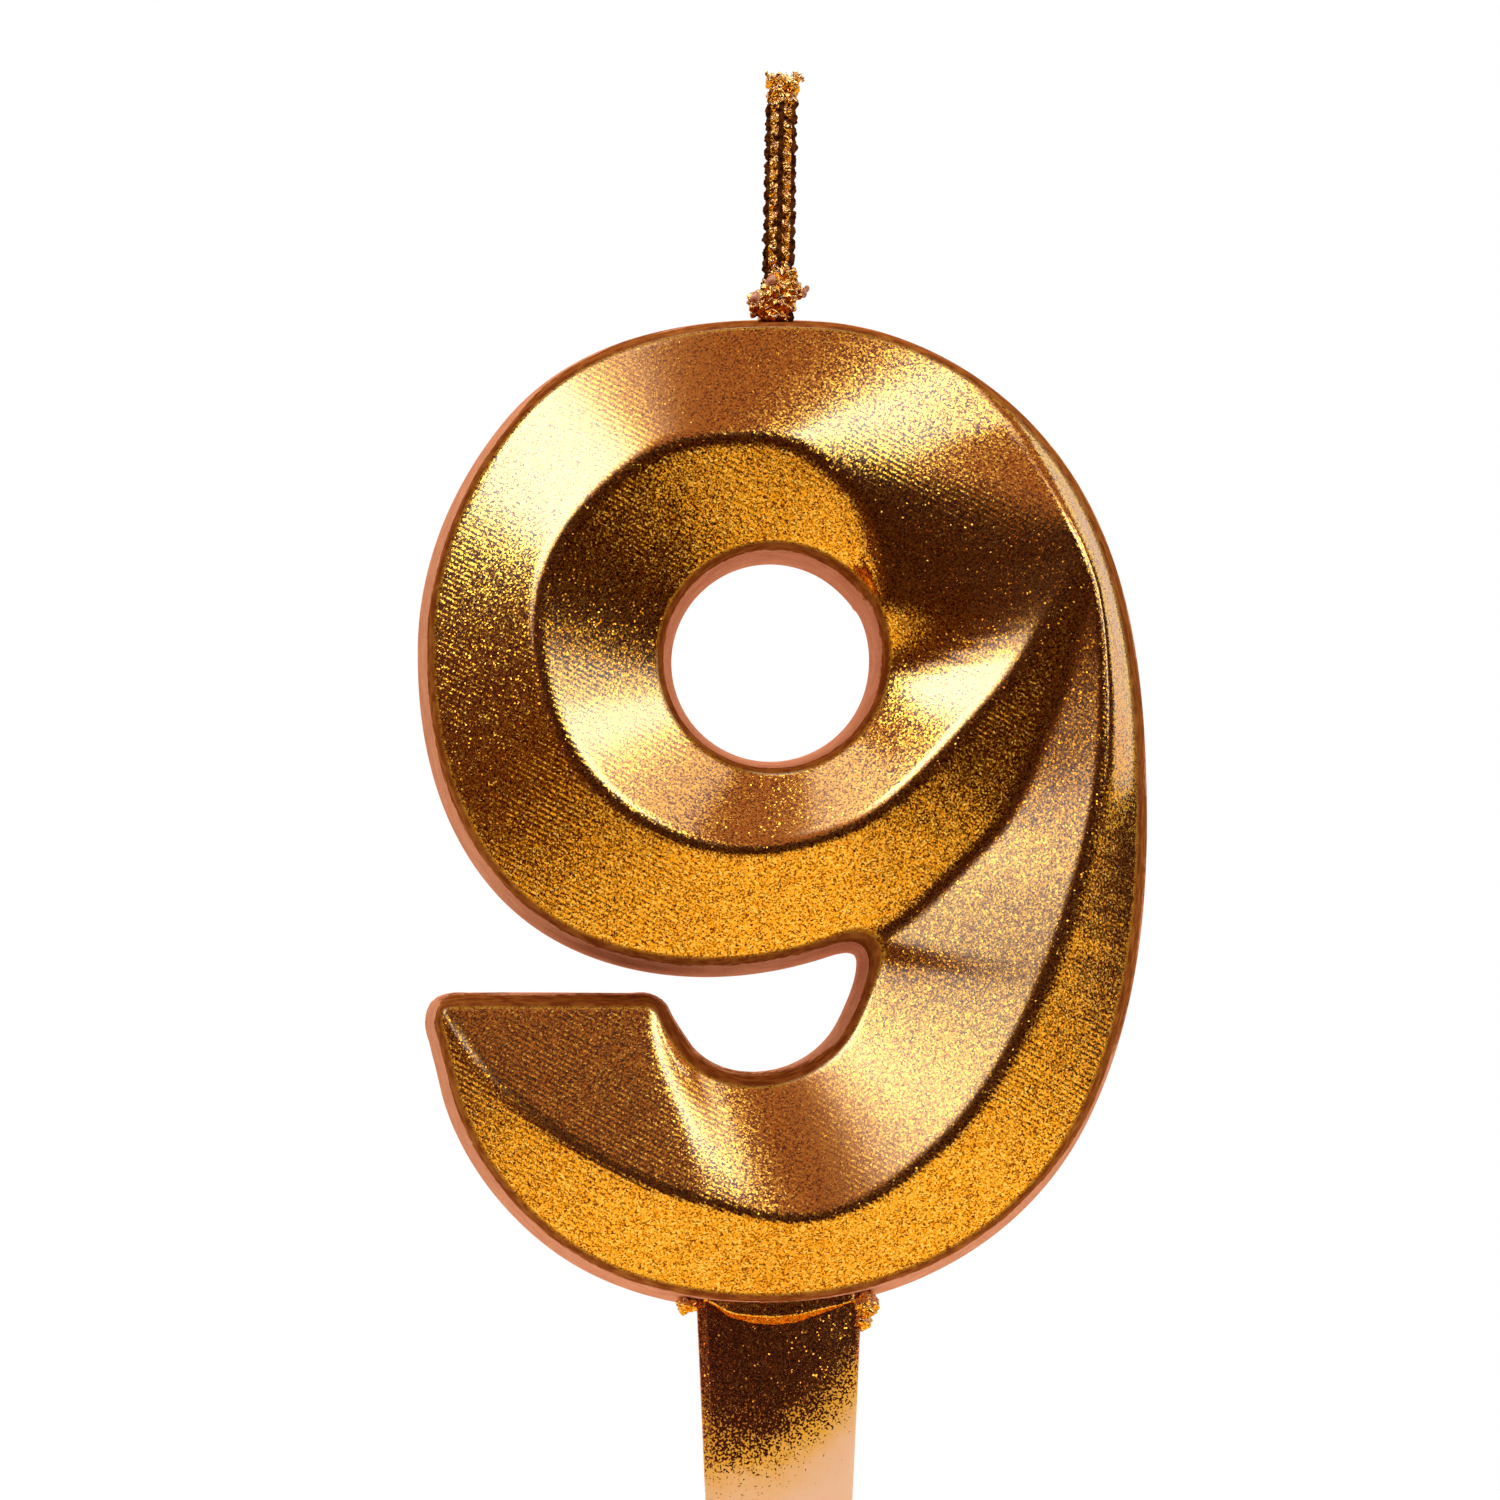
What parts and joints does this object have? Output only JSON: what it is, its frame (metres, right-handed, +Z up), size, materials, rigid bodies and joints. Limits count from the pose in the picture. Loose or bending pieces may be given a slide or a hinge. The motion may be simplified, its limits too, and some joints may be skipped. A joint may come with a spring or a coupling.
{
  "type": "number candle",
  "caption": "Cast wax nine with a ridged gold front, a braided wick on top and a flat tapered pick below that stands it in a cake.",
  "frame": {"origin": "tip of the pick, on its centre line and in the middle of its thickness", "axes": "+X to the right as the numeral is read, +Y towards its flat back, +Z up"},
  "size_m": [0.0515, 0.012, 0.1327],
  "materials": {
    "gilded_wax": "metallic gold paint over paraffin wax, bare peach wax on the side walls",
    "wick_cotton": "flat braided cotton, waxed and oversprayed with gold",
    "bead_wax": "lump of wax, gold paint chipped in places",
    "pick_plastic": "satin moulded plastic with gold overspray near the wax",
    "collar_wax": "squeezed-out wax with gold paint"
  },
  "bodies": {
    "root": {"numeral_body": "gilded_wax", "wick": "wick_cotton", "wick_bead": "bead_wax", "pick": "pick_plastic", "pick_collar": "collar_wax"}
  },
  "joints": []
}
